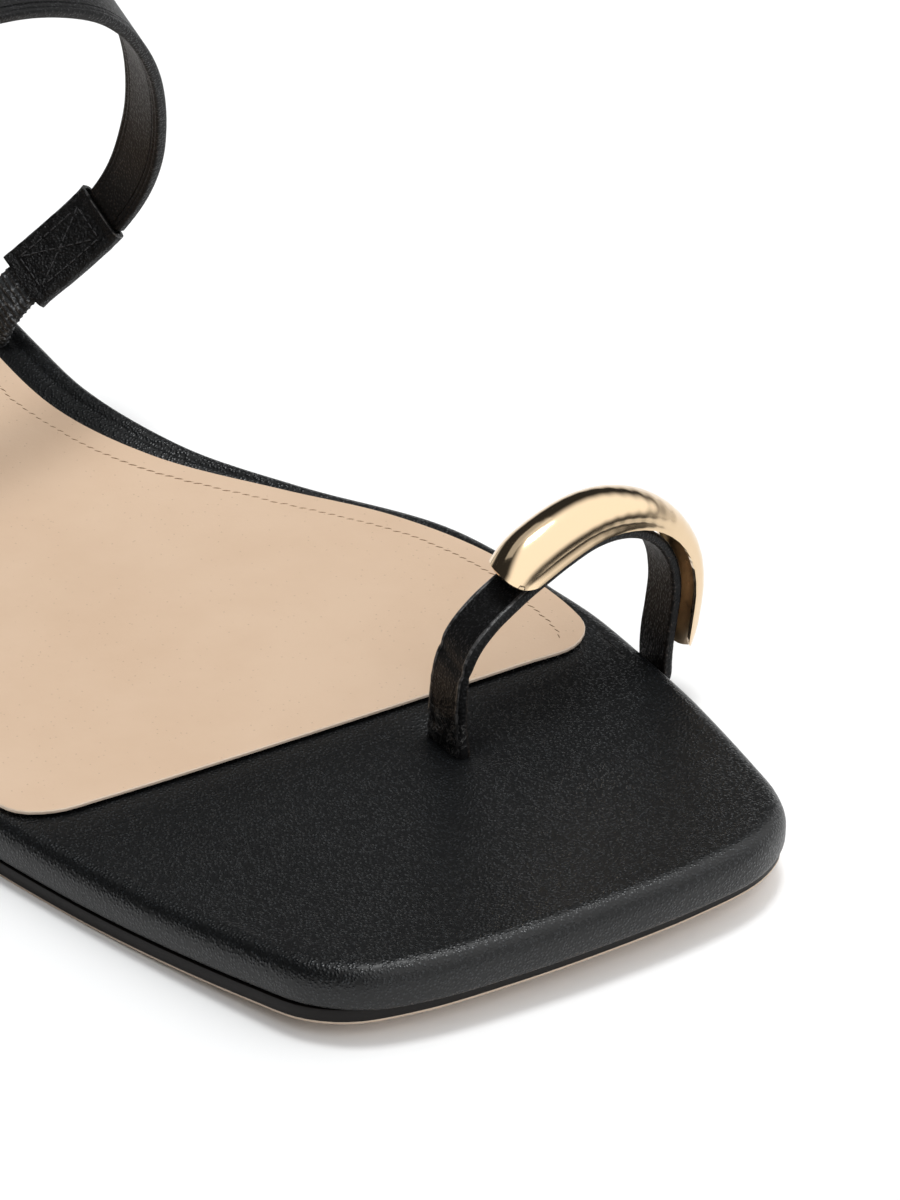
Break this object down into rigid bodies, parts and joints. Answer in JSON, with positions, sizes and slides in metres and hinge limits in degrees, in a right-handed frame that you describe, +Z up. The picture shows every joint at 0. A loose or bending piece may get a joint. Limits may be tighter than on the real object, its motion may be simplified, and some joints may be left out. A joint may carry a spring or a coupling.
{
  "type": "toe loop sandal",
  "caption": "Flat leather sandal for the right foot, with a toe loop under a half-round metal shell and a slim instep strap held by an elastic.",
  "frame": {"origin": "on the floor under the middle of the sandal's box", "axes": "+Z up from the floor the sandal stands on, -Y towards the toe, +Y towards the heel, +X towards the big-toe side of the right foot"},
  "size_m": [0.0952, 0.25, 0.0814],
  "materials": {
    "outsole": "smooth black sole leather",
    "heel": "smooth black sole leather",
    "footbed": "fine-grained black leather over padding",
    "liner": "smooth beige lining leather",
    "toe_strap": "fine-grained black leather",
    "ornament": "polished pale gold",
    "instep_strap": "fine-grained black leather with painted edges",
    "sleeve": "thin folded black leather",
    "elastic": "ruched black elastic"
  },
  "bodies": {
    "root": {"outsole": "outsole", "heel": "heel", "footbed": "footbed", "sock_liner": "liner", "toe_strap": "toe_strap", "toe_ornament": "ornament", "instep_strap": "instep_strap", "strap_sleeve": "sleeve", "instep_elastic": "elastic"}
  },
  "joints": []
}
